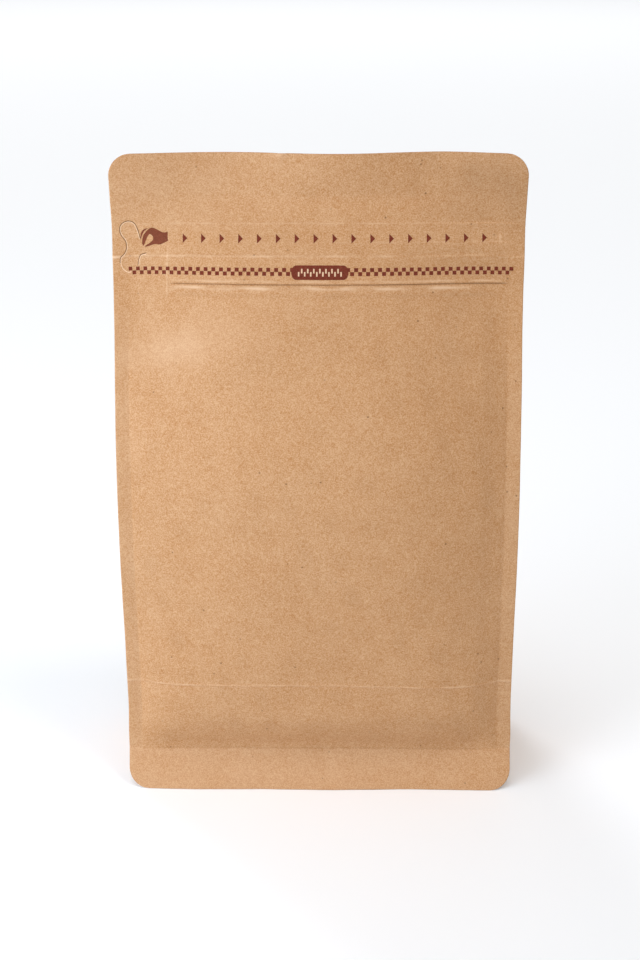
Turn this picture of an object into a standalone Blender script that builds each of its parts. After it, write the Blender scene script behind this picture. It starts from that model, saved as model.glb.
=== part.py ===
"""Flat-bottom coffee bag, shut and standing.

The real bag is made of five webs of kraft laminate: a front and a back panel, two folded side
gussets and a bottom gusset. Their edges are heat-sealed together, which leaves a thin fin down each
of the four corners and a skirt along the foot of the front and the back. Once sealed it is one
piece, so it is one solid here: a lofted body, with the two panels joined to it as thin curved
plates that stand past it as fins and skirts.

Metres, +Z up. The front faces -Y. The origin is at the centre of the base, on the floor.
"""

from bisect import bisect_right
from math import cos, pi, sqrt

import bmesh
import bpy

MM = 0.001

# Driving dimensions
WIDTH = 140 * MM  # across a panel laid flat, edge to edge
HEIGHT = 226 * MM  # standing height
SEAL = 5 * MM  # width of the four corner fins
SKIRT = 14.3 * MM  # height of the front and back foot seals
GUSSET_HALF = 32 * MM  # from a corner fin to the gusset's middle crease
CORNER = 7.3 * MM  # radius of the panels' corners
MOUTH = 213 * MM  # above this height the bag is pressed flat and sealed
FILM = 0.6 * MM  # thickness of a fin: two laminates, a little stout
INSET = 0.3 * MM  # how far the body's faces lie inside the panels' faces
FLAT_DEPTH = 20 * MM  # half-depth of the flat patch that the bag stands on
FLAT_WIDTH = 56 * MM  # half-width of that patch

# Shape of a panel against height, in millimetres: (height, value)
FIN_DEPTH = (
    (0, 30), (13.3, 24.8), (14.3, 24.5), (30, 24.4), (55, 25.2), (94, 27), (112, 26.8), (128, 25.2),
    (146, 21), (162, 15.8), (178, 9.8), (194, 3.6), (206, 0.8), (213, 0.5), (226, 0.5),
)  # fmt: skip
BULGE = (
    (0, 0), (14.3, 0), (16.5, 0.4), (18.7, 1.5), (21.7, 3.3), (25, 5.05), (28, 6.35), (31, 7.15), (35, 7.7),
    (45, 8.3), (70, 9.3), (100, 10.6), (130, 12), (160, 12), (180, 10.5), (195, 7), (206, 2.6), (213, 0),
    (226, 0),
)  # fmt: skip
BULGE_POWER = 2.2  # 2 would be a parabola across the panel; more is flatter in the middle
GUSSET_EASE = 3 * MM  # how far the filling pushes the gusset's crease back out
GUSSET_PUFF = 2 * MM  # how far each half of a gusset stands out between fin and crease
BASE_RISE = 50 * MM  # over this height the open base closes up into the gusset's fold
WAVE = 2.5 * MM  # ripple of the free top edge, front to back
WAVE_LENGTH = 79 * MM
WAVE_MIDDLE = 5 * MM  # where the top edge stands furthest forward
WAVE_FOOT = 196 * MM  # the ripple has died out down here
EAR = 2.2 * MM  # how far the top's right corner leans forward
EAR_START = 38 * MM  # from the middle to where that lean begins
EAR_SPAN = 25 * MM
PANELS_MEET = 3 * MM  # half-depth up to which the panels lie together, with no fold between them
PANELS_PART = 4 * MM  # over this much more, the gusset opens to its full fold
LEAST_FIN = 1 * MM  # what is left of a fin's width in a rounded corner

PANEL_COLUMNS = 16
GUSSET_STEPS = 4  # from a fin to the gusset's middle crease
KRAFT = (0.50, 0.28, 0.14, 1)


def smooth(t):
    """Eases from 0 to 1."""
    t = min(max(t, 0.0), 1.0)
    return t * t * (3 - 2 * t)


def along(stations, height):
    """Reads a smooth curve through stations given in millimetres, with no overshoot. In metres."""
    h = height / MM
    places = [place for place, _ in stations]
    values = [value for _, value in stations]
    slopes = [(b - a) / (q - p) for p, q, a, b in zip(places, places[1:], values, values[1:])]
    tangents = [slopes[0]]
    for before, after in zip(slopes, slopes[1:]):
        turning = before * after <= 0
        tangents.append(0 if turning else 2 * before * after / (before + after))
    tangents.append(slopes[-1])
    i = min(max(bisect_right(places, h) - 1, 0), len(slopes) - 1)
    span = places[i + 1] - places[i]
    t = (h - places[i]) / span
    rise = values[i + 1] - values[i]
    bend_start = tangents[i] * span - rise
    bend_end = -tangents[i + 1] * span + rise
    value = values[i] + t * rise + t * (1 - t) * ((1 - t) * bend_start + t * bend_end)
    return value * MM


def seam(height):
    """From the middle of a panel to the inner edge of its fin. The web draws in as it bulges."""
    web = WIDTH - 2 * SEAL
    return (web + sqrt(web**2 - 32 / 3 * along(BULGE, height) ** 2)) / 4


def half_width(height):
    """From the middle of a panel to its edge, with the corners rounded."""
    into_corner = max(CORNER - height, height - (HEIGHT - CORNER), 0)
    rounding = CORNER - sqrt(max(CORNER**2 - into_corner**2, 0))
    return seam(height) + SEAL - rounding


def panel_depth(x, height):
    """How far a panel stands out from the bag's middle plane, without the ripple."""
    inner = min(abs(x) / seam(height), 1)
    return along(FIN_DEPTH, height) + along(BULGE, height) * (1 - inner**BULGE_POWER)


def ripple(x, height):
    """The top's wave and its leaning corner, which die out below the mouth."""
    above = smooth((height - WAVE_FOOT) / (HEIGHT - WAVE_FOOT))
    wave = WAVE * cos(2 * pi * (x - WAVE_MIDDLE) / WAVE_LENGTH)
    ear = EAR * smooth((x - EAR_START) / EAR_SPAN)
    return -(wave + ear) * above


def levels():
    """Heights of the panels' rows, close together where the corners turn."""
    turn = [CORNER * (1 - cos(pi / 2 * i / 5)) for i in range(6)]
    foot = [SKIRT, 17 * MM, 20 * MM, 24 * MM, 29 * MM, 36 * MM]
    body = [(46 + 10 * i) * MM for i in range(15)]
    top = [HEIGHT - rise for rise in reversed(turn)]
    return turn + foot + body + [195 * MM, 202 * MM, 208 * MM, MOUTH] + top


def panel_row(height):
    """x of each column: the edge, the fin's inner edge, evenly across, and so out again."""
    edge = half_width(height)
    inner = min(seam(height), edge - LEAST_FIN)
    across = [inner * (2 * i / PANEL_COLUMNS - 1) for i in range(PANEL_COLUMNS + 1)]
    return [-edge] + across + [edge]


def new_object(name, bm, collection):
    bmesh.ops.recalc_face_normals(bm, faces=bm.faces[:])
    bmesh.ops.triangulate(bm, faces=bm.faces[:])
    mesh = bpy.data.meshes.new(name)
    bm.to_mesh(mesh)
    bm.free()
    obj = bpy.data.objects.new(name, mesh)
    collection.objects.link(obj)
    return obj


def band(bm, lower, upper):
    """Faces between two rows of as many vertices."""
    for i in range(len(lower) - 1):
        bm.faces.new((lower[i], lower[i + 1], upper[i + 1], upper[i]))


def outline(rows):
    """The vertices round the edge of a grid, ending where they began."""
    right = [row[-1] for row in rows[1:-1]]
    left = [row[0] for row in rows[1:-1]]
    return rows[0] + right + rows[-1][::-1] + left[::-1] + rows[0][:1]


def make_panel(name, side, collection):
    """A panel as a thin plate. side is -1 for the front and 1 for the back."""
    bm = bmesh.new()
    skins = []
    for inward in (0, FILM):
        rows = []
        for height in levels():
            row = []
            for x in panel_row(height):
                y = side * (panel_depth(x, height) - inward) + ripple(x, height)
                row.append(bm.verts.new((x, y, height)))
            rows.append(row)
        for lower, upper in zip(rows, rows[1:]):
            band(bm, lower, upper)
        skins.append(rows)
    band(bm, outline(skins[0]), outline(skins[1]))
    obj = new_object(name, bm, collection)
    obj.hide_render = True
    obj.display_type = "WIRE"
    return obj


def gusset_fold(height):
    """How far the gusset's middle crease lies inside the seam: its halves keep their width."""
    depth = along(FIN_DEPTH, height)
    fold = sqrt(max(GUSSET_HALF**2 - depth**2, 0)) - GUSSET_EASE
    panels_part = smooth((depth - PANELS_MEET) / PANELS_PART)
    base_opens = smooth((height - SKIRT) / BASE_RISE)
    return fold * panels_part * base_opens


def body_half_sizes(height):
    """(half-width, half-depth) of the body at its corners. It rounds in to the flat base."""
    width = seam(height)
    depth = along(FIN_DEPTH, max(height, SKIRT)) - INSET
    if height >= SKIRT:
        return width, depth
    turned = sqrt(max(1 - ((SKIRT - height) / SKIRT) ** 2, 0))
    return FLAT_WIDTH + (width - FLAT_WIDTH) * turned, FLAT_DEPTH + (depth - FLAT_DEPTH) * turned


def body_ring(height):
    """One level section of the body, anticlockwise from its front left corner."""
    width, depth = body_half_sizes(height)
    bulge = along(BULGE, height)
    fold = gusset_fold(height)
    puff = GUSSET_PUFF * smooth((height - SKIRT) / BASE_RISE) * depth / along(FIN_DEPTH, 0)
    front = []
    for i in range(PANEL_COLUMNS + 1):
        t = 2 * i / PANEL_COLUMNS - 1
        front.append((t * width, -depth - bulge * (1 - abs(t) ** BULGE_POWER)))
    side = []
    for i in range(1, 2 * GUSSET_STEPS):
        t = i / GUSSET_STEPS - 1
        out = puff * 4 * abs(t) * (1 - abs(t)) - fold * (1 - abs(t))
        side.append((width + out, t * depth))
    half = front + side
    ring = half + [(-x, -y) for x, y in half]
    return [(x, y + ripple(x, height)) for x, y in ring]


def make_body(name, collection):
    """The filled body, lofted through its level sections, from the base to the mouth."""
    foot = [SKIRT * (1 - cos(pi / 2 * i / 5)) for i in range(5)]
    above = [height for height in levels() if SKIRT <= height <= MOUTH]
    bm = bmesh.new()
    rings = [[bm.verts.new((x, y, h)) for x, y in body_ring(h)] for h in foot + above]
    for lower, upper in zip(rings, rings[1:]):
        band(bm, lower + lower[:1], upper + upper[:1])
    bm.faces.new(rings[0])
    bm.faces.new(rings[-1])
    return new_object(name, bm, collection)


def kraft_material():
    material = bpy.data.materials.new("kraft")
    material.use_nodes = True
    shader = material.node_tree.nodes["Principled BSDF"]
    shader.inputs["Base Color"].default_value = KRAFT
    shader.inputs["Roughness"].default_value = 0.75
    shader.inputs["Metallic"].default_value = 0
    return material


def main():
    for obj in list(bpy.data.objects):
        bpy.data.objects.remove(obj)
    parts = bpy.data.collections.new("coffee_bag")
    webs = bpy.data.collections.new("panels")
    for collection in (parts, webs):
        bpy.context.scene.collection.children.link(collection)
    bag = make_body("bag", parts)
    for name, side in (("front_panel", -1), ("back_panel", 1)):
        join = bag.modifiers.new(name, "BOOLEAN")
        join.operation = "UNION"
        join.solver = "MANIFOLD"
        join.object = make_panel(name, side, webs)
    bag.data.materials.append(kraft_material())


main()
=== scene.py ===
from math import cos, pi, radians, sin

import bmesh
import bpy
import numpy as np
from mathutils import Matrix, Vector


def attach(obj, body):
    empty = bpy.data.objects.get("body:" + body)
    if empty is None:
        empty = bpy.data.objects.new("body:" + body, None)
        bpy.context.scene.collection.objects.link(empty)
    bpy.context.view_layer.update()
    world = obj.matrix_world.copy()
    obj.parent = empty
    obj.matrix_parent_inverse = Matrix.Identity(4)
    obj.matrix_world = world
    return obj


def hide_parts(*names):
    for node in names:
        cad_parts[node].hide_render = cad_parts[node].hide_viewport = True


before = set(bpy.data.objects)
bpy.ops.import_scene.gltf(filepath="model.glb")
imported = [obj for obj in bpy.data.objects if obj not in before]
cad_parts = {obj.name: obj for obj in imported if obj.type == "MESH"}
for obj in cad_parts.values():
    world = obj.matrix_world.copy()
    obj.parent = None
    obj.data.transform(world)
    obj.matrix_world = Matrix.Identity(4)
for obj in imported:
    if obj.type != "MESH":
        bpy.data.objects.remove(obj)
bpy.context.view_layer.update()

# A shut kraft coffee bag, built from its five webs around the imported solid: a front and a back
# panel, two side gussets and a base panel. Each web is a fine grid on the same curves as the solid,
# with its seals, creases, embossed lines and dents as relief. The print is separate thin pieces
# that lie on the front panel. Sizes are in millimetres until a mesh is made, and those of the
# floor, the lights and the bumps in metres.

MM = 0.001

# The solid's own dimensions, and its curves as (height, value)
WIDTH = 140.0
HEIGHT = 226.0
SEAL = 5.0
SKIRT = 14.3
GUSSET_HALF = 32.0
GUSSET_EASE = 3.0
GUSSET_PUFF = 2.0
BASE_RISE = 50.0
CORNER = 7.3
MOUTH = 213.0
FLAT_DEPTH = 20.0
FLAT_WIDTH = 56.0
BULGE_POWER = 2.2
WAVE = 2.5
WAVE_LENGTH = 79.0
WAVE_MIDDLE = 5.0
WAVE_FOOT = 196.0
EAR = 2.2
EAR_START, EAR_SPAN = 38.0, 25.0
PANELS_MEET, PANELS_PART = 3.0, 4.0
FIN_DEPTH = (
    (0, 30), (13.3, 24.8), (14.3, 24.5), (30, 24.4), (55, 25.2), (94, 27), (112, 26.8), (128, 25.2),
    (146, 21), (162, 15.8), (178, 9.8), (194, 3.6), (206, 0.8), (213, 0.5), (226, 0.5),
)
BULGE = (
    (0, 0), (14.3, 0), (16.5, 0.4), (18.7, 1.5), (21.7, 3.3), (25, 5.05), (28, 6.35), (31, 7.15),
    (35, 7.7), (45, 8.3), (70, 9.3), (100, 10.6), (130, 12), (160, 12), (180, 10.5), (195, 7),
    (206, 2.6), (213, 0), (226, 0),
)

# A line printed or creased straight across the web sags toward the fins by this much
DROOP = (
    (0, 0), (14.3, 0.3), (45, 2.7), (120, 1.9), (186, 1.78), (193, 1.5), (199, 1.0), (204, 0.75),
    (213, 0), (226, 0),
)
LAMINATE = 0.35
LINING_GAP = 0.05
GUSSET_COLUMNS = 61
LINING_COLUMNS = 5

# The waved top is this share narrower, from the height DRAWN_FROM up
DRAWN_IN = 0.0075
DRAWN_FROM, DRAWN_SPAN = 188.0, 18.0

# The panels' rims reach in from RIMS_START and meet at the mouth. Over the same heights and a
# little below, the back takes on the front's relief.
RIMS_START = 203.0
JOIN_START = 200.0

# Lines across the front panel, as heights, and the fold beside the pull tab, as an x
TEAR_TOP = 203.6
TEAR_MIDDLE = 197.9
TEAR_FOOT = 193.8
ZIPPER = 185.5
ZIPPER_SPAN = (-48.8, 63.0)
ZIPPER_STEP = 0.34
ZIPPER_DEPTH = 9.0
TAB_CREASE = -50.6
BASE_CREASE = 44.9
SKIRT_BOW = 0.6
SEAL_PRESS = 0.12
SEAL_PALE = 0.17

# Lines as (strength, place, width, first x, last x, fade), in millimetres of relief. Those of the
# zipper are placed from its groove.
ACROSS = (-WIDTH, WIDTH, 6)
TEAR_LINES = (
    (0.08, TEAR_TOP, 0.4, -62, 68, 6),
    (0.05, TEAR_MIDDLE, 0.35, 3, 64, 8),
    (0.12, TEAR_FOOT, 0.45, *ACROSS),
)
ZIPPER_LINES = (
    (-0.30, -0.05, 0.22, *ZIPPER_SPAN, 5),
    (0.26, -1.35, 0.6, -51, 52, 6),
    (0.08, -3.2, 0.7, -48, 60, 8),
)
TAB_LINE = (0.09, TAB_CREASE, 0.4, 181, 194, 3)
FRONT_FOLD = (0.16, BASE_CREASE, 0.45, *ACROSS)
BACK_FOLD = (0.12, BASE_CREASE, 0.45, *ACROSS)

# The same for colour: where the paper is pale from strain, and where highlights and shade are
# painted in
TEAR_WEAR = (
    (0.55, TEAR_TOP, 0.25, -62, 68, 6),
    (0.45, TEAR_MIDDLE, 0.25, 3, 64, 8),
    (0.75, TEAR_FOOT, 0.3, *ACROSS),
)
# Painted highlights on the ridges above and below the zipper's groove
ZIPPER_PAINTED_HIGHLIGHTS = ((1.1, 0.9, 0.3, -48, 60, 6), (1.3, -1.15, 0.5, -50, 52, 6))
# Painted shade in the zipper's groove and under its lower ridge
ZIPPER_PAINTED_SHADE = ((-0.6, -0.05, 0.26, *ZIPPER_SPAN, 4), (-0.14, -3.4, 0.8, -48, 60, 8))
TAB_WEAR = (0.75, TAB_CREASE, 0.3, 181, 197, 3)
FRONT_FOLD_WEAR = (0.85, BASE_CREASE, 0.3, *ACROSS)
BACK_FOLD_WEAR = (0.5, BASE_CREASE, 0.3, *ACROSS)
# Painted shade along the top of the foot seal
SKIRT_PAINTED_SHADE = (-0.3, SKIRT - 0.2, 0.35, -60, 60, 4)

# Soft swells and dents as (strength, place, size, tilt)
FRONT_SWELLS = (
    (1.2, (22, 120), (22, 60), 0),  # where the coffee fills the middle
    (-0.9, (-48, 95), (14, 60), 0),  # slack beside the left fin
    (0.7, (38, 78), (15, 34), -0.1),
    (2.4, (-30, 165), (17, 8), 0.22),  # the slanting push-out under the zipper's left end
    (1.2, (-8, 171), (20, 9), 0),
    (-0.9, (-60, 170), (10, 8), 0),
    (0.30, (-12, 158), (11, 2.4), 0.45),
    (-0.5, (-2, 176), (22, 6), -0.1),
    (0.35, (30, 172), (14, 12), 0.3),
    (-0.35, (58, 214), (9, 10), 0),
    (0.8, (-12.5, HEIGHT), (2.2, 2.2), 0),  # the nick in the top edge
    (0.12, (61.0, 199.1), (0.5, 1.3), 0),  # the end mark of the tear strip
    (0.25, (-68.5, TEAR_FOOT), (2.5, 1.0), 0),
)
BACK_SWELLS = (
    (1.1, (34, 164), (18, 9), 0.3),
    (-0.8, (-34, 172), (22, 7), -0.2),
    (0.5, (-38, 86), (14, 30), 0.1),
)
# A painted highlight where the lower tear line meets the left edge
EDGE_PAINTED_HIGHLIGHT = (2.0, (-69.5, TEAR_FOOT - 0.1), (3.0, 0.5), 0)
# Marks on the front: the nick in the top edge and the tear strip's end mark are paler paper; the
# rest is painted light and shade
FRONT_MARKS_AND_PAINTED_LIGHT = (
    (0.5, (-12.5, HEIGHT), (2.0, 0.9), 0),
    (0.9, (61.0, 199.1), (0.5, 1.2), 0),
    # A painted highlight on the push-out under the zipper's left end, and a fainter one beside it
    (0.42, (-49, 165.5), (15, 5.5), 0.22),
    (0.15, (-32, 171), (14, 6), 0.3),
    # Painted shade on the top right corner, and across the band below it
    (-0.45, (60, 216), (22, 13), 0),
    (-0.16, (52, 191), (26, 6), 0),
)

# Random crumples as (strength, seed, length)
FRONT_CRUMPLES = ((0.22, 11, 34), (0.05, 12, 11), (0.018, 13, 4.5))
BACK_CRUMPLES = ((0.25, 21, 34), (0.05, 22, 11), (0.018, 23, 4.5))

# Print, as distances along the web from its middle, and heights
ARROWS_AT = 199.05
ARROW_PITCH = 6.288
ARROW_LAST = 55.2
ARROW_COUNT = 17
ARROW_SIZE = (1.55, 2.85)
CHECK = 1.323
CHECKS = 99
STRIP_MIDDLE = 0.82
STRIP_AT = 189.3
STRIP_ROW = 1.16
BADGE_SIZE = (18.9, 4.2)
BADGE_AT = (0.75, 189.1)
TEETH = 15
TOOTH_PITCH = 1.0
TOOTH_SIZE = (0.5, 1.3)
TOOTH_STAGGER = 0.45
HAND_AT = (-55.2, 199.3)
HAND_CELL = 0.6
INK_LIFT = 0.03

KRAFT = (0.502, 0.280, 0.132)
# Pale kraft: paper pale from strain and the print's bare teeth, and also painted highlights
PALE_KRAFT = (0.72, 0.50, 0.33)
INK = (0.150, 0.028, 0.014)
FLOOR = (0.92, 0.96, 1.0)
FLOOR_REACH = 30.0  # metres
FLOOR_AT = -0.0001

SKY = (1, 1, 0.95)
COOL = (0.94, 1, 1.09)
WHITE = (1, 1, 1.04)
ROSY = (1.08, 0.95, 0.88)

CAMERA_ELEVATION = 21.0
CAMERA_AZIMUTH = 1.0
CAMERA_ROLL = 0.25
CAMERA_DISTANCE = 503.8
CAMERA_AIM = (0.25, 0.0, 110.3)
CAMERA_LENS = 52.5


# ---------------------------------------------------------------- the bag's curves


def smooth(t):
    """Eases from 0 to 1."""
    t = np.clip(t, 0.0, 1.0)
    return t * t * (3 - 2 * t)


def along(stations, height):
    """Reads a smooth curve through stations of (height, value), with no overshoot."""
    places, values = np.array(stations, float).T
    slopes = np.diff(values) / np.diff(places)
    before, after = slopes[:-1], slopes[1:]
    both = np.where(before * after > 0, before + after, 1.0)
    inner = np.where(before * after > 0, 2 * before * after / both, 0.0)
    tangents = np.concatenate([slopes[:1], inner, slopes[-1:]])
    h = np.asarray(height, float)
    i = np.clip(np.searchsorted(places, h, side="right") - 1, 0, len(slopes) - 1)
    span = places[i + 1] - places[i]
    t = (h - places[i]) / span
    rise = values[i + 1] - values[i]
    bend_start = tangents[i] * span - rise
    bend_end = -tangents[i + 1] * span + rise
    return values[i] + t * rise + t * (1 - t) * ((1 - t) * bend_start + t * bend_end)


def seam(height):
    """From the middle of a panel to the inner edge of its fin."""
    web = WIDTH - 2 * SEAL
    return (web + np.sqrt(web**2 - 32 / 3 * along(BULGE, height) ** 2)) / 4


def half_width(height):
    """From the middle of a panel to its edge, with the corners rounded."""
    into = np.maximum(np.maximum(CORNER - height, height - (HEIGHT - CORNER)), 0)
    return seam(height) + SEAL - (CORNER - np.sqrt(np.maximum(CORNER**2 - into**2, 0)))


def panel_depth(x, height):
    """How far a panel stands out from the bag's middle plane."""
    inner = np.minimum(np.abs(x) / seam(height), 1)
    return along(FIN_DEPTH, height) + along(BULGE, height) * (1 - inner**BULGE_POWER)


def ripple(x, height):
    """The top's wave and its leaning corner, which die out below the mouth."""
    above = smooth((height - WAVE_FOOT) / (HEIGHT - WAVE_FOOT))
    wave = WAVE * np.cos(2 * pi * (x - WAVE_MIDDLE) / WAVE_LENGTH)
    return -(wave + EAR * smooth((x - EAR_START) / EAR_SPAN)) * above


def drawn_in(height):
    """The share of its width that the waved top keeps."""
    return 1 - DRAWN_IN * smooth((height - DRAWN_FROM) / DRAWN_SPAN)


def across(u, height):
    """x of a point at distance u along the web from its middle, the bulge allowed for."""
    half = seam(height)
    power = 2 * BULGE_POWER - 1
    slack = (along(BULGE, height) * BULGE_POWER) ** 2 / (2 * half * power)
    x = np.abs(u)
    for _ in range(4):
        x = np.abs(u) - slack * np.clip(x / half, 0, 1) ** power
    return np.sign(u) * x


def crumple(a, b, seed, length, terms=9):
    """A smooth random field of about unit height, with waves of about the given length."""
    rng = np.random.default_rng(seed)
    total = np.zeros(np.broadcast(a, b).shape)
    for _ in range(terms):
        angle, phase = rng.uniform(0, 2 * pi, 2)
        k = 2 * pi / (length * rng.uniform(0.7, 1.6))
        total += np.sin(k * (a * cos(angle) + b * sin(angle)) + phase)
    return total / np.sqrt(terms)


# ---------------------------------------------------------------- relief


def ridge(distance, width):
    return np.exp(-((distance / width) ** 2))


def between(value, low, high, fade):
    """1 between two limits, fading to 0 outside them."""
    return smooth((value - low) / fade + 0.5) * smooth((high - value) / fade + 0.5)


def dent(x, h, at, size, tilt=0.0):
    """A soft round patch, 1 in its middle."""
    dx, dh = x - at[0], h - at[1]
    a = dx * cos(tilt) + dh * sin(tilt)
    b = -dx * sin(tilt) + dh * cos(tilt)
    return np.exp(-((a / size[0]) ** 2 + (b / size[1]) ** 2))


def lines(place, run, *table):
    """Ridges at fixed places, each between two points of its run."""
    total = 0.0
    for strength, at, width, first, last, fade in table:
        total = total + strength * ridge(place - at, width) * between(run, first, last, fade)
    return total


def patches(x, h, *table):
    """Soft round patches, added up."""
    return sum(strength * dent(x, h, at, size, tilt) for strength, at, size, tilt in table)


def crumples(x, h, table):
    return sum(strength * crumple(x, h, seed, length) for strength, seed, length in table)


def on_skirt(h):
    """1 on the foot seal, 0 above it."""
    return smooth((SKIRT - 0.3 - h) / 0.8 + 0.5)


def sealed(x, h):
    """1 on the pressed fins and foot, 0 on the free web between them."""
    fins_stand_off = smooth((186 - h) / 36)
    fins = smooth((np.abs(x) - seam(h)) / 0.7 + 0.5) * fins_stand_off
    return np.maximum(fins, on_skirt(h))


def tucked_top(x, h):
    """Toward the mouth the web leaves its fins without a bend."""
    t = np.clip(np.abs(x) / seam(h), 0, 1)
    tucked = (1 - t**2) ** 1.6 - (1 - t**BULGE_POWER)
    return 0.85 * along(BULGE, h) * tucked * smooth((h - 135) / 45)


def filled_foot(x, h):
    """Over the base the web is filled out toward its fins."""
    t = np.clip(np.abs(x) / seam(h), 0, 1)
    return 0.8 * along(BULGE, h) * (t**BULGE_POWER - t**6) * (1 - smooth((h - 34) / 50))


def zipper_height(x, h):
    """Height above the zipper's groove, which bows a little more than the web's other lines."""
    return h - ZIPPER + 0.1 * (x / 60) ** 2


def plain_relief(x, h):
    """What the front and the back have alike: the fill, the pressed seals and the bowed skirt."""
    bowed = SKIRT_BOW * (1 - (x / 66) ** 2) * (1 - np.clip(h / 12, 0, 1))
    return tucked_top(x, h) + filled_foot(x, h) + bowed - SEAL_PRESS * sealed(x, h)


def front_relief(x, h):
    """Everything that stands off or into the front panel's plain curve."""
    over = zipper_height(x, h)
    strip = smooth((over + 0.15) / 0.35) * smooth((ZIPPER_DEPTH - over) / ZIPPER_DEPTH)
    right_swell = smooth((60.5 - x) / 6.5) * smooth((x - 5) / 40) * between(h, 24, 176, 20)
    out = plain_relief(x, h) + 0.6 * right_swell
    out += ZIPPER_STEP * strip * between(x, *ZIPPER_SPAN, 5)
    out += lines(h, x, *TEAR_LINES, FRONT_FOLD) + lines(over, x, *ZIPPER_LINES)
    out += lines(x, h, TAB_LINE)
    return out + patches(x, h, *FRONT_SWELLS) + crumples(x, h, FRONT_CRUMPLES)


def back_relief(x, h):
    """As on the front, but plainer. At the mouth it takes on the front's, to which it is sealed."""
    out = plain_relief(x, h) + lines(h, x, BACK_FOLD)
    out += patches(x, h, *BACK_SWELLS) + crumples(x, h, BACK_CRUMPLES)
    joined = smooth((h - JOIN_START) / (MOUTH - JOIN_START))
    return out * (1 - joined) - front_relief(x, h) * joined


def patchiness(x, h, seed):
    """Breaks a pale line up along its run."""
    return 0.55 + 0.45 * np.clip(crumple(x, 6 * h, seed, 12), -1, 1)


def front_wear_and_painted_light(x, h):
    """Above 0 where the paper is pale from strain or a highlight is painted, below 0 where shade is
    painted.
    """
    over = zipper_height(x, h)
    # Lines pale from strain, with painted highlights on the zipper's ridges and at the left edge,
    # broken up along their run
    strain_and_painted_highlights = lines(h, x, *TEAR_WEAR, FRONT_FOLD_WEAR) + lines(over, x, *ZIPPER_PAINTED_HIGHLIGHTS)
    strain_and_painted_highlights = strain_and_painted_highlights + lines(x, h, TAB_WEAR) + patches(x, h, EDGE_PAINTED_HIGHLIGHT)
    wear_and_painted_light = strain_and_painted_highlights * patchiness(x, h, 14)
    # Painted shade in the zipper's groove and along the foot seal, and the marks, most of them
    # painted light and shade
    wear_and_painted_light += lines(over, x, *ZIPPER_PAINTED_SHADE) + lines(h, x, SKIRT_PAINTED_SHADE) + patches(x, h, *FRONT_MARKS_AND_PAINTED_LIGHT)
    # Painted light and shade: lighter toward the upper left, the top left and the skirt's left,
    # darker toward the right
    painted_light_upper_left = smooth((h - 120) / 60) * smooth((35 - x) / 60)
    painted_light_top_left = smooth((h - 195) / 15) * smooth((-10 - x) / 30)
    painted_light_skirt_left = smooth((60 - x) / 70) * on_skirt(h)
    right = smooth((x - 20) / 40)
    wear_and_painted_light += 0.04 * painted_light_upper_left + 0.1 * painted_light_top_left + 0.1 * painted_light_skirt_left - 0.05 * right
    return wear_and_painted_light + 0.05 * crumple(x, h, 15, 13) + SEAL_PALE * sealed(x, h)


def back_wear_and_painted_shade(x, h):
    wear_and_painted_light = lines(h, x, BACK_FOLD_WEAR) * patchiness(x, h, 24)
    # Painted shade along the top of the foot seal, and the pale pressed seals
    return wear_and_painted_light + lines(h, x, SKIRT_PAINTED_SHADE) + SEAL_PALE * sealed(x, h)


# ---------------------------------------------------------------- meshes


def steps(zones):
    """Positions through zones of (start, end, spacing)."""
    marks = [np.linspace(a, b, max(2, round(abs(b - a) / s) + 1))[:-1] for a, b, s in zones]
    return np.concatenate(marks + [[zones[-1][1]]])


def grid_faces(rows, columns, first=0, flip=False):
    faces = []
    for r in range(rows - 1):
        for c in range(columns - 1):
            a = first + r * columns + c
            quad = (a, a + 1, a + columns + 1, a + columns)
            faces.append(quad[::-1] if flip else quad)
    return faces


def make_object(name, points, faces, material, flat_faces=(), uv=None, wear_and_painted_light=None):
    mesh = bpy.data.meshes.new(name)
    mesh.from_pydata([tuple(p) for p in np.asarray(points) * MM], [], faces)
    smooth_flags = np.ones(len(faces), bool)
    smooth_flags[list(flat_faces)] = False
    mesh.polygons.foreach_set("use_smooth", smooth_flags)
    if wear_and_painted_light is not None:
        mesh.attributes.new("wear_and_painted_light", "FLOAT", "POINT").data.foreach_set("value", wear_and_painted_light.ravel())
    if uv is not None:
        corner = np.zeros(len(mesh.loops), np.int32)
        mesh.loops.foreach_get("vertex_index", corner)
        layer = mesh.uv_layers.new(name="OFBake")
        layer.data.foreach_set("uv", uv[corner].astype(np.float32).ravel())
    mesh.update()
    obj = bpy.data.objects.new(name, mesh)
    bpy.context.scene.collection.objects.link(obj)
    obj.data.materials.append(material)
    return obj


def grid_uv(points, left=0.01, right=0.99, low=0.01, high=0.99):
    """Places of a grid's points on the bake's map, by distance along its rows and columns."""
    over = np.linalg.norm(np.diff(points, axis=1), axis=2).mean(0)
    up = np.linalg.norm(np.diff(points, axis=0), axis=2).mean(1)
    u = np.concatenate([[0], np.cumsum(over)]) / over.sum()
    v = np.concatenate([[0], np.cumsum(up)]) / up.sum()
    uu, vv = np.meshgrid(left + (right - left) * u, low + (high - low) * v)
    return np.stack([uu, vv], -1).reshape(-1, 2)


def panel_skin(c, h, side, relief):
    """Points of a panel: c runs from edge to edge, -1 to 1, and h up the web."""
    z = h - along(DROOP, h) * c**2
    x = c * half_width(z) * drawn_in(z)
    y = side * (panel_depth(x, z) + relief(x, h)) + ripple(x, z)
    return np.stack([x, y, z], -1)


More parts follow.
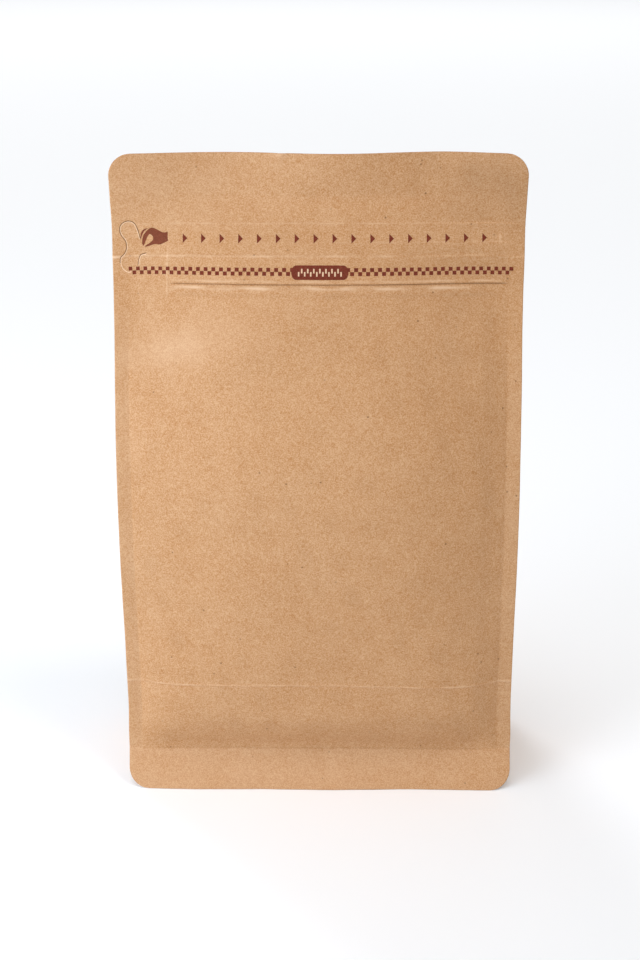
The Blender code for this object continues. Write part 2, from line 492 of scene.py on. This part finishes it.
def make_panel(name, side, relief, wear_and_painted_light, material):
    """A panel: its outer skin, and a narrow rim turned inward. The rims meet above the mouth."""
    columns = steps([
        (-1, -0.86, 0.006), (-0.86, -0.745, 0.0125), (-0.745, -0.705, 0.003),
        (-0.705, 0.86, 0.0125), (0.86, 1, 0.006),
    ])
    rows = steps([
        (0, 0.6, 0.2), (0.6, 12, 0.7), (12, 15, 0.3), (15, 43.5, 0.9), (43.5, 46.5, 0.2),
        (46.5, 178, 1.0), (178, 184, 0.4), (184, 187.2, 0.12), (187.2, 206, 0.25),
        (206, 225.4, 0.7), (225.4, 226, 0.2),
    ])
    c, h = np.meshgrid(columns, rows)
    skin = panel_skin(c, h, side, relief)
    rim = np.pad(skin, ((1, 1), (1, 1), (0, 0)), mode="edge")
    for edge in (rim[0], rim[-1], rim[:, 0], rim[:, -1]):
        shut = smooth((edge[:, 2] - RIMS_START) / (MOUTH - RIMS_START))
        edge[:, 1] -= side * np.maximum(along(FIN_DEPTH, edge[:, 2]) * shut, LAMINATE / 2)
    n_rows, n_columns = rim.shape[:2]
    faces = grid_faces(n_rows, n_columns, flip=side > 0)
    last_row, last_column = n_rows - 2, n_columns - 2
    rim_faces = []
    for i in range(len(faces)):
        r, k = divmod(i, n_columns - 1)
        if r in (0, last_row) or k in (0, last_column):
            rim_faces.append(i)
    marks = np.pad(wear_and_painted_light(skin[..., 0], h), 1, mode="edge")
    return make_object(name, rim.reshape(-1, 3), faces, material, rim_faces, grid_uv(rim), marks)


def gusset_point(t, z, seed):
    """x and y of a side gusset at height z; t runs from the front fin to the back one."""
    depth = along(FIN_DEPTH, z)
    folded = np.sqrt(np.maximum(GUSSET_HALF**2 - depth**2, 0)) - GUSSET_EASE
    folded = folded * smooth((depth - PANELS_MEET) / PANELS_PART)
    part = np.sqrt(t**2 + 0.03**2)
    valley = folded * (1 - part)
    apex = SKIRT + BASE_RISE
    apex_depth = np.sqrt(GUSSET_HALF**2 - along(FIN_DEPTH, apex) ** 2) - GUSSET_EASE
    foot = apex_depth * (z - SKIRT) / BASE_RISE
    turn = 0.6
    inward = -np.log(np.exp(-valley / turn) + np.exp(-foot / turn)) * turn
    inward = np.clip(inward, 0, None)
    puff = GUSSET_PUFF * smooth((z - SKIRT) / BASE_RISE) * depth / FIN_DEPTH[0][1]
    out = puff * 4 * part * (1 - part)
    loose = (1 - t**2) * smooth((z - SKIRT) / 12)
    out = out + loose * crumples(t * 25, z, ((0.5, seed, 30), (0.08, seed + 1, 7)))
    return seam(z) + out - inward, t * (depth - 0.4)


def make_gusset(name, side, seed, material):
    """A side gusset: the folded web between the fins, and the inner faces of both fins."""
    rows = steps([(SKIRT, 20, 0.4), (20, 60, 0.7), (60, 180, 1.2), (180, 212, 0.7)])
    t, z = np.meshgrid(np.linspace(-1, 1, GUSSET_COLUMNS), rows)
    x, y = gusset_point(t, z, seed)
    h = z + along(DROOP, z)
    y -= np.clip(-t, 0, 1) ** 4 * front_relief(side * x, h)
    y += np.clip(t, 0, 1) ** 4 * back_relief(side * x, h)
    web = np.stack([x, y, z], -1)
    fins = []
    for end, relief in ((-1, front_relief), (1, back_relief)):
        f, fz = np.meshgrid(np.linspace(0, 1, LINING_COLUMNS + 1), rows)
        fx = seam(fz) + f * (SEAL - 0.06)
        stand = along(FIN_DEPTH, fz) + relief(side * fx, fz + along(DROOP, fz))
        fy = end * (stand - LAMINATE - LINING_GAP + 2 * LINING_GAP * (1 - f))
        fins.append(np.stack([fx, fy, fz], -1))
    points = np.concatenate([fins[0][:, :0:-1], web, fins[1][:, 1:]], axis=1)
    points[..., 0] *= side * drawn_in(points[..., 2])
    points[..., 1] += ripple(points[..., 0], points[..., 2])
    faces = grid_faces(*points.shape[:2], flip=side < 0)
    across_web = np.pad(0.6 * ridge(np.linspace(-1, 1, GUSSET_COLUMNS), 0.03), LINING_COLUMNS)
    wear_and_painted_light = np.tile(across_web, (len(rows), 1))
    return make_object(name, points.reshape(-1, 3), faces, material, (), grid_uv(points), wear_and_painted_light)


def make_base(name, material):
    """The base panel: a shallow tub whose front and back run down inside the skirts."""
    half_x, half_y = float(seam(SKIRT)), float(along(FIN_DEPTH, SKIRT)) - 0.2
    turn = np.sin(np.linspace(0, pi / 2, 13))
    flat_x = np.linspace(-FLAT_WIDTH, FLAT_WIDTH, 57)
    flat_y = np.linspace(-FLAT_DEPTH, FLAT_DEPTH, 29)
    out_x = FLAT_WIDTH + (half_x - FLAT_WIDTH) * turn[1:]
    out_y = FLAT_DEPTH + (half_y - FLAT_DEPTH) * turn[1:]
    xs = np.concatenate([-out_x[::-1], flat_x, out_x])
    ys = np.concatenate([-out_y[::-1], flat_y, out_y])
    x, y = np.meshgrid(xs, ys)
    over_x = np.clip((np.abs(x) - FLAT_WIDTH) / (half_x - FLAT_WIDTH), 0, 1)
    over_y = np.clip((np.abs(y) - FLAT_DEPTH) / (half_y - FLAT_DEPTH), 0, 1)
    over = np.clip((over_x**4 + over_y**4) ** 0.25, 0, 1)
    z = SKIRT * (1 - np.sqrt(1 - over**2))
    z += (0.12 + 0.1 * crumple(x, y, 31, 22)) * (1 - over)
    z += 0.25 * ridge(y, 0.6) * (1 - over_x)
    tub = np.stack([x, y, np.maximum(z, 0.02)], -1)
    points = [tub.reshape(-1, 3)]
    faces = grid_faces(*tub.shape[:2], flip=True)
    wear_and_painted_light = [0.6 * ridge(y, 0.7).ravel()]
    uv = [grid_uv(tub, high=0.6)]
    for side, relief, low in ((-1, front_relief, 0.64), (1, back_relief, 0.83)):
        c, h = np.meshgrid(np.linspace(-1, 1, 101), np.linspace(0.04, SKIRT, 22))
        lx = c * (half_width(h) - 0.06)
        ly = side * (along(FIN_DEPTH, h) + relief(lx, h) - LAMINATE - 0.02)
        lining = np.stack([lx, ly, h], -1)
        faces += grid_faces(*lining.shape[:2], first=sum(map(len, points)), flip=side < 0)
        points.append(lining.reshape(-1, 3))
        wear_and_painted_light.append(np.zeros(lining.shape[0] * lining.shape[1]))
        uv.append(grid_uv(lining, low=low, high=low + 0.16))
    points, uv, wear_and_painted_light = map(np.concatenate, (points, uv, wear_and_painted_light))
    return make_object(name, points, faces, material, (), uv, wear_and_painted_light)


def on_front(u, h, lift):
    """Points on the front panel, from the distance along the web and the height."""
    u, h = np.asarray(u, float), np.asarray(h, float)
    x = across(u, h)
    z = h - along(DROOP, h) * (x / half_width(h)) ** 2
    y = -(panel_depth(x, z) + front_relief(x, h) + lift) + ripple(x, z)
    return np.stack([x, y, z], -1)


# ---------------------------------------------------------------- print and embossing


def checker_shapes():
    """The zipper strip's squares, two rows of them, with a gap for the badge."""
    n = np.linspace(0, 1, 4)
    shapes = []
    for i in range(CHECKS):
        start = STRIP_MIDDLE + (i - CHECKS / 2) * CHECK
        inside = abs(start + CHECK / 2 - BADGE_AT[0]) < BADGE_SIZE[0] / 2 - 0.4
        if inside:
            continue
        low = STRIP_AT if i % 2 == 0 else STRIP_AT - STRIP_ROW
        u, h = np.meshgrid(start + CHECK * n, low + STRIP_ROW * n)
        shapes.append((u, h))
    return shapes


def arrow_shapes():
    """The tear strip's arrows, which point the way the tab is pulled."""
    n = np.linspace(0, 1, 5)
    shapes = []
    for i in range(ARROW_COUNT):
        start = ARROW_LAST - ARROW_PITCH * i
        a, b = np.meshgrid(n, n)
        u = start + ARROW_SIZE[0] * a
        h = ARROWS_AT + ARROW_SIZE[1] * (b - 0.5) * (1 - a * 0.98)
        shapes.append((u, h))
    return shapes


def badge_shape():
    """A lozenge with round ends, in place of the zipper strip's middle."""
    a, b = np.meshgrid(np.linspace(-1, 1, 61), np.linspace(-1, 1, 15))
    length, width = BADGE_SIZE[0] / 2, BADGE_SIZE[1] / 2
    straight = length - width * 0.9
    u = a * length
    over = np.clip((np.abs(u) - straight) / (length - straight), 0, 1)
    h = b * width * np.sqrt(1 - 0.97 * over**2.4)
    return [(BADGE_AT[0] + u, BADGE_AT[1] + h)]


def tooth_shapes():
    """Pale zipper teeth on the badge, in two staggered rows."""
    a, b = np.meshgrid(np.linspace(-0.5, 0.5, 3), np.linspace(-0.5, 0.5, 3))
    shapes = []
    for i in range(TEETH):
        u = BADGE_AT[0] + (i - (TEETH - 1) / 2) * TOOTH_PITCH + TOOTH_SIZE[0] * a
        h = BADGE_AT[1] + (TOOTH_STAGGER if i % 2 else -TOOTH_STAGGER) + TOOTH_SIZE[1] * b
        shapes.append((u, h))
    return shapes


def print_piece(name, shapes, lift, material):
    """One piece out of flat printed shapes, laid on the front panel."""
    points, faces = [], []
    for u, h in shapes:
        shape = on_front(u, h, lift)
        faces += grid_faces(*u.shape, first=len(points))
        points += list(shape.reshape(-1, 3))
    return make_object(name, points, faces, material)


def spline(points, each):
    """A smooth line through points (Catmull-Rom), with a number of steps between each two."""
    p = np.array(points, float)
    p = np.vstack([2 * p[0] - p[1], p, 2 * p[-1] - p[-2]])
    out = []
    for a, b, c, d in zip(p, p[1:], p[2:], p[3:]):
        bend = 2 * a - 5 * b + 4 * c - d
        twist = 3 * b - a - 3 * c + d
        for t in np.linspace(0, 1, each, endpoint=False):
            out.append(b + 0.5 * ((c - a) * t + bend * t**2 + twist * t**3))
    return np.array(out + [p[-2]])


# The hand's outline around HAND_AT, one smooth stretch at a time: the back of the hand and the
# finger, the gap, the thumb and the wrist. Then the fingers behind.
HAND = (
    (
        (4.7, 1.7), (3.0, 1.5), (0.8, 2.5), (-0.8, 3.0), (-2.3, 2.2), (-3.8, 0.5), (-4.3, -1.7),
        (-3.9, -2.7),
    ),
    ((-3.9, -2.7), (-3.0, -1.1), (-2.3, 0.3), (-1.4, 1.0), (-0.4, 0.0), (-0.9, -1.2), (-3.3, -2.6)),
    ((-3.3, -2.6), (-3.2, -2.9), (-1.8, -2.6), (0.1, -2.1), (1.9, -2.2), (3.5, -1.6), (4.7, -1.1)),
    ((4.7, -1.1), (4.6, 0.3), (4.7, 1.7)),
)
FINGERS = (
    ((-2.0, 2.8), (-3.5, 2.5), (-4.5, 1.4), (-4.8, -0.1), (-4.6, -0.4)),
    ((-4.6, -0.4), (-4.2, 0.6), (-3.4, 1.9), (-2.0, 2.8)),
)


def make_hand(name, material):
    """A pinching hand, pointing at the tab: palm, finger and thumb, and the fingers behind."""
    bm = bmesh.new()
    for shape in (HAND, FINGERS):
        outline = np.concatenate([spline(stretch, 4)[:-1] for stretch in shape])
        verts = [bm.verts.new((x, y, 0)) for x, y in outline]
        bm.faces.new(verts)
    for axis, first, last in ((Vector((1, 0, 0)), -4.6, 4.7), (Vector((0, 1, 0)), -2.6, 3.0)):
        for mark in np.arange(first, last, HAND_CELL):
            geometry = bm.verts[:] + bm.edges[:] + bm.faces[:]
            at = axis * mark
            bmesh.ops.bisect_plane(bm, geom=geometry, plane_co=at, plane_no=axis, dist=0.0001)
    bmesh.ops.triangulate(bm, faces=bm.faces[:])
    bm.verts.index_update()
    flat = np.array([v.co[:2] for v in bm.verts])
    faces = [tuple(v.index for v in f.verts) for f in bm.faces]
    bm.free()
    turned = []
    for f in faces:
        (ax, ay), (bx, by), (cx, cy) = flat[list(f)]
        upright = (bx - ax) * (cy - ay) - (by - ay) * (cx - ax) > 0
        turned.append(f if upright else f[::-1])
    points = on_front(HAND_AT[0] + flat[:, 0], HAND_AT[1] + flat[:, 1], INK_LIFT)
    return make_object(name, points, turned, material)


def ribbon(path, profile):
    """Grid of points swept along a path on the front panel. The profile is (offset, lift)."""
    run = np.gradient(path, axis=0)
    run /= np.linalg.norm(run, axis=1, keepdims=True)
    across_path = np.stack([-run[:, 1], run[:, 0]], -1)
    columns = []
    for offset, height in profile:
        at = path + across_path * offset
        columns.append(on_front(at[:, 0], at[:, 1], height))
    return np.stack(columns, 1)


# The pull tab's cut: round its head and down past its waist, on round its foot, and its hook
TAB_CUT = (
    (-60.1, 198.8), (-60.8, 201.5), (-61.9, 203.7), (-63.9, 204.4), (-65.9, 203.7), (-66.9, 202.1),
    (-66.5, 200.1), (-65.2, 198.3), (-64.9, 196.3), (-65.7, 194.6), (-67.1, 193.3), (-67.4, 191.6),
)
TAB_FOOT = ((-67.4, 191.6), (-66.7, 189.8), (-65.0, 188.6), (-63.7, 188.7))
TAB_HOOK = ((-58.2, 194.5), (-60.1, 194.0), (-60.9, 192.5), (-61.2, 190.9))

# Across the cut, as (distance to the side, height above the web)
TAB_EDGE_PROFILE = ((0.06, 0.0), (0.12, 0.05), (0.20, 0.06), (0.30, 0.04), (0.36, 0.0))
TAB_LINE_PROFILE = ((-0.20, 0.015), (0.08, 0.015))


def make_tab_cut(name, edge_material, shade_material):
    """The pull tab's die cut: its raised edge with a painted highlight, and the cut's line of
    painted shade.
    """
    jobs = (
        ("edge", (TAB_CUT, TAB_FOOT, TAB_HOOK), TAB_EDGE_PROFILE, edge_material),
        ("line", (TAB_CUT, TAB_HOOK), TAB_LINE_PROFILE, shade_material),
    )
    made = []
    for label, outlines, profile, stuff in jobs:
        points, faces = [], []
        for outline in outlines:
            grid = ribbon(spline(outline, 12), profile)
            faces += grid_faces(*grid.shape[:2], first=len(points), flip=True)
            points += list(grid.reshape(-1, 3))
        made.append(make_object(f"{name}_{label}", points, faces, stuff))
    return made


# ---------------------------------------------------------------- materials


class Nodes:
    """Short calls for building a material's nodes."""

    def __init__(self, name):
        self.material = bpy.data.materials.new(name)
        self.material.use_nodes = True
        self.tree = self.material.node_tree
        self.shader = self.tree.nodes["Principled BSDF"]

    def add(self, kind, **settings):
        node = self.tree.nodes.new(kind)
        for key, value in settings.items():
            setattr(node, key, value)
        return node

    def link(self, out, into):
        self.tree.links.new(out, into)

    def feed(self, socket, value):
        if isinstance(value, (int, float)):
            socket.default_value = value
        elif isinstance(value, tuple):
            socket.default_value = (*value, 1) if len(socket.default_value) == 4 else value
        else:
            self.link(value, socket)

    def millimetres(self, stretch=(1, 1, 1), shift=(0, 0, 0)):
        coords = self.add("ShaderNodeTexCoord")
        mapping = self.add("ShaderNodeMapping")
        mapping.inputs["Scale"].default_value = [1000 * s for s in stretch]
        mapping.inputs["Location"].default_value = shift
        self.link(coords.outputs["Object"], mapping.inputs["Vector"])
        return mapping.outputs["Vector"]

    def noise(self, place, scale, detail=2.0, roughness=0.5, distortion=0.0):
        node = self.add("ShaderNodeTexNoise")
        self.link(place, node.inputs["Vector"])
        node.inputs["Scale"].default_value = scale
        node.inputs["Detail"].default_value = detail
        node.inputs["Roughness"].default_value = roughness
        node.inputs["Distortion"].default_value = distortion
        return node.outputs["Fac"]

    def math(self, operation, a, b=0.0, c=0.0, clamp=False):
        node = self.add("ShaderNodeMath", operation=operation, use_clamp=clamp)
        for socket, value in zip(node.inputs, (a, b, c)):
            self.feed(socket, value)
        return node.outputs[0]

    def spread(self, value, low, high, to_low=0.0, to_high=1.0):
        node = self.add("ShaderNodeMapRange", interpolation_type="SMOOTHSTEP")
        for key, item in (("Value", value), ("From Min", low), ("From Max", high)):
            self.feed(node.inputs[key], item)
        node.inputs["To Min"].default_value = to_low
        node.inputs["To Max"].default_value = to_high
        return node.outputs[0]

    def mix(self, factor, a, b):
        node = self.add("ShaderNodeMix", data_type="RGBA")
        self.feed(node.inputs["Factor"], factor)
        self.feed(node.inputs[6], a)
        self.feed(node.inputs[7], b)
        return node.outputs[2]

    def bump(self, height, strength, distance):
        node = self.add("ShaderNodeBump")
        node.inputs["Strength"].default_value = strength
        node.inputs["Distance"].default_value = distance
        self.link(height, node.inputs["Height"])
        self.link(node.outputs["Normal"], self.shader.inputs["Normal"])


def fibres(n, shift, scale, width):
    """Short curved fibres: thin contours of a noise, broken up by another."""
    place = n.millimetres(shift=shift)
    line = n.math("ABSOLUTE", n.math("SUBTRACT", n.noise(place, scale, 1.5, 0.5, 0.6), 0.5))
    thin = n.spread(line, 0.0, width, 1.0, 0.0)
    keep = n.spread(n.noise(place, scale * 1.3, 0.0), 0.52, 0.62)
    return n.math("MULTIPLY", thin, keep)


def kraft_tone(n):
    """The paper's lightness from place to place, around 0.5, and its fibre relief."""
    place = n.millimetres()
    cloud = n.noise(place, 0.05, 3.0)
    mottle = n.noise(place, 0.55, 4.0, 0.72, 0.5)
    grain = n.noise(place, 2.3, 3.0, 0.8)
    pale = fibres(n, (7.0, 0.0, 3.0), 0.6, 0.05)
    pale_short = fibres(n, (1.0, 5.0, 9.0), 1.1, 0.06)
    dark = fibres(n, (0.0, 31.0, 17.0), 0.55, 0.045)
    tone = n.math("MULTIPLY_ADD", cloud, 0.30, -0.15 + 0.5)
    tone = n.math("ADD", tone, n.math("MULTIPLY_ADD", mottle, 0.8, -0.4))
    tone = n.math("ADD", tone, n.math("MULTIPLY_ADD", grain, 3.9, -1.95))
    tone = n.math("ADD", tone, n.math("MULTIPLY", n.math("ADD", pale, pale_short), 0.28))
    tone = n.math("SUBTRACT", tone, n.math("MULTIPLY", dark, 0.32))
    height = n.math("ADD", n.math("MULTIPLY", mottle, 0.5), n.math("MULTIPLY", grain, 0.6))
    return tone, n.math("ADD", height, n.math("MULTIPLY", pale, 0.3))


def scaled(colour, factor, warmth=1.0):
    """A lighter or darker colour. Below 1, warmth takes away green and more blue."""
    return (colour[0] * factor, colour[1] * factor * warmth, colour[2] * factor * warmth**2.6)


def kraft_material():
    n = Nodes("kraft")
    tone, height = kraft_tone(n)
    shade = n.math("ADD", tone, 0.0, clamp=True)
    colour = n.mix(shade, scaled(KRAFT, 0.84, 0.85), scaled(KRAFT, 1.16, 1.11))
    specks = n.add("ShaderNodeTexVoronoi")
    n.link(n.millimetres(), specks.inputs["Vector"])
    specks.inputs["Scale"].default_value = 0.18
    dot = n.spread(specks.outputs["Distance"], 0.03, 0.085, 1.0, 0.0)
    chosen = n.spread(n.noise(n.millimetres(), 0.12, 1.0), 0.46, 0.54)
    speck = n.math("MULTIPLY", n.math("MULTIPLY", dot, chosen), 0.75)
    colour = n.mix(speck, colour, scaled(KRAFT, 0.3, 0.85))
    # The wear attribute: above 0 mixes toward pale kraft, for paper pale from strain and for
    # painted highlights; below 0 toward dark kraft, as painted shade
    worn = n.add("ShaderNodeAttribute", attribute_name="wear_and_painted_light")
    pale = n.math("MULTIPLY", worn.outputs["Fac"], 0.6, clamp=True)
    colour = n.mix(pale, colour, PALE_KRAFT)
    painted_shade_mix = n.math("MULTIPLY", worn.outputs["Fac"], -0.6, clamp=True)
    colour = n.mix(painted_shade_mix, colour, scaled(KRAFT, 0.4, 0.95))
    n.link(colour, n.shader.inputs["Base Color"])
    n.link(n.spread(tone, 0.0, 1.0, 0.66, 0.56), n.shader.inputs["Roughness"])
    n.shader.inputs["Specular IOR Level"].default_value = 0.15
    n.bump(height, 0.35, 0.00004)
    return n.material


def ink_material(name, thin=0.0):
    """The print's red-brown ink. Where it is thin, kraft shows through evenly."""
    n = Nodes(name)
    tone, height = kraft_tone(n)
    worn = n.spread(n.noise(n.millimetres(shift=(3.0, 5.0, 1.0)), 1.9, 3.0, 0.7), 0.56, 0.74)
    colour = n.mix(n.math("ADD", tone, 0.0, clamp=True), scaled(INK, 0.8), scaled(INK, 1.25, 1.05))
    colour = n.mix(n.math("MULTIPLY_ADD", worn, 0.2, thin), colour, scaled(KRAFT, 0.8))
    n.link(colour, n.shader.inputs["Base Color"])
    n.shader.inputs["Roughness"].default_value = 0.5
    n.shader.inputs["Specular IOR Level"].default_value = 0.1
    n.bump(height, 0.3, 0.0001)
    return n.material


def bare_material(name, shade):
    """Plain kraft: bare through the print, a painted highlight on the tab's edge, painted shade in
    its cut.
    """
    n = Nodes(name)
    tone, height = kraft_tone(n)
    colour = n.mix(n.math("ADD", tone, 0.0, clamp=True), scaled(shade, 0.85), scaled(shade, 1.12))
    n.link(colour, n.shader.inputs["Base Color"])
    n.shader.inputs["Roughness"].default_value = 0.7
    n.shader.inputs["Specular IOR Level"].default_value = 0.15
    n.bump(height, 0.3, 0.0001)
    return n.material


def plain_material(name, colour, roughness):
    n = Nodes(name)
    n.feed(n.shader.inputs["Base Color"], colour)
    n.shader.inputs["Roughness"].default_value = roughness
    return n.material


# ---------------------------------------------------------------- stage


def make_floor():
    mesh = bpy.data.meshes.new("floor")
    turns = ((-1, -1), (1, -1), (1, 1), (-1, 1))
    corners = [(x * FLOOR_REACH, y * FLOOR_REACH, FLOOR_AT) for x, y in turns]
    mesh.from_pydata(corners, [], [(0, 1, 2, 3)])
    floor = bpy.data.objects.new("floor", mesh)
    bpy.context.scene.collection.objects.link(floor)
    floor.data.materials.append(plain_material("floor_white", FLOOR, 0.9))


def toward(azimuth, elevation):
    """The direction of a light: azimuth from the front, to the right, and elevation, in degrees."""
    a, e = radians(azimuth), radians(elevation)
    return Vector((sin(a) * cos(e), -cos(a) * cos(e), sin(e)))


def add_light(name, kind, place, strength, colour, size=0.45, aim=(0, 0, 0.11)):
    """A light at (azimuth, elevation, distance) from its aim, in degrees and metres."""
    azimuth, elevation, distance = place
    light = bpy.data.lights.new(name, kind)
    light.energy = strength
    light.color = colour
    if kind == "SUN":
        light.angle = 0.5
    else:
        light.shape = "DISK"
        light.size = size
    obj = bpy.data.objects.new(name, light)
    direction = toward(azimuth, elevation)
    obj.location = Vector(aim) + direction * distance
    obj.rotation_euler = (-direction).to_track_quat("-Z", "Y").to_euler()
    bpy.context.scene.collection.objects.link(obj)


def make_lights():
    world = bpy.data.worlds.new("studio")
    bpy.context.scene.world = world
    world.use_nodes = True
    background = world.node_tree.nodes["Background"]
    background.inputs["Color"].default_value = (*SKY, 1)
    background.inputs["Strength"].default_value = 0.4
    add_light("key_front", "AREA", (-50, 8, 0.75), 1.72, COOL)
    add_light("key_side", "AREA", (-75, 8, 0.75), 1.51, COOL)
    add_light("key_high", "AREA", (-50, 28, 0.75), 0.92, COOL)
    add_light("overhead", "SUN", (-20, 75, 2), 0.58, WHITE)
    add_light("right", "SUN", (60, 50, 2), 0.89, ROSY)
    add_light("behind", "SUN", (-150, 25, 2), 1.15, WHITE)
    add_light("backdrop", "AREA", (0, 89, 3), 17, WHITE, 4, (0, 5, 0))


def make_camera():
    elevation, azimuth, roll = map(radians, (CAMERA_ELEVATION, CAMERA_AZIMUTH, CAMERA_ROLL))
    ahead = cos(elevation)
    forward = Vector((-sin(azimuth) * ahead, cos(azimuth) * ahead, -sin(elevation)))
    right = Vector((cos(azimuth), sin(azimuth), 0))
    up = right.cross(forward)
    turned_right = right * cos(roll) - up * sin(roll)
    turned_up = up * cos(roll) + right * sin(roll)
    turn = Matrix((turned_right, turned_up, -forward)).transposed()
    camera = bpy.data.objects.new("camera", bpy.data.cameras.new("camera"))
    camera.data.lens = CAMERA_LENS
    camera.data.sensor_width = 36
    camera.data.clip_start = 0.01
    place = Vector(CAMERA_AIM) * MM - forward * CAMERA_DISTANCE * MM
    camera.matrix_world = Matrix.Translation(place) @ turn.to_4x4()
    bpy.context.scene.collection.objects.link(camera)
    bpy.context.scene.camera = camera


def main():
    kraft, ink, thin_ink = kraft_material(), ink_material("ink"), ink_material("thin_ink", 0.1)
    teeth = bare_material("bare_kraft", scaled(PALE_KRAFT, 0.95))
    # A painted highlight on the tab's raised edge, and painted shade in the line of its cut
    painted_highlight_edge = bare_material("painted_highlight_edge", PALE_KRAFT)
    cut_shade = bare_material("cut_shade", scaled(KRAFT, 0.38, 0.9))
    webs = [
        make_panel("front_panel", -1, front_relief, front_wear_and_painted_light, kraft),
        make_panel("back_panel", 1, back_relief, back_wear_and_painted_shade, kraft),
        make_gusset("left_gusset", -1, 41, kraft),
        make_gusset("right_gusset", 1, 51, kraft),
        make_base("base_panel", kraft),
    ]
    marks = [
        print_piece("zipper_strip", checker_shapes(), INK_LIFT, ink),
        print_piece("zipper_badge", badge_shape(), INK_LIFT, ink),
        print_piece("badge_teeth", tooth_shapes(), INK_LIFT * 2, teeth),
        print_piece("tear_arrows", arrow_shapes(), INK_LIFT, ink),
        make_hand("pinch_hand", thin_ink),
        *make_tab_cut("tab", painted_highlight_edge, cut_shade),
    ]
    for piece in webs + marks:
        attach(piece, "root")
        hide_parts("bag")
    make_floor()
    make_lights()
    make_camera()
    bpy.context.scene.view_settings.view_transform = "Standard"


main()
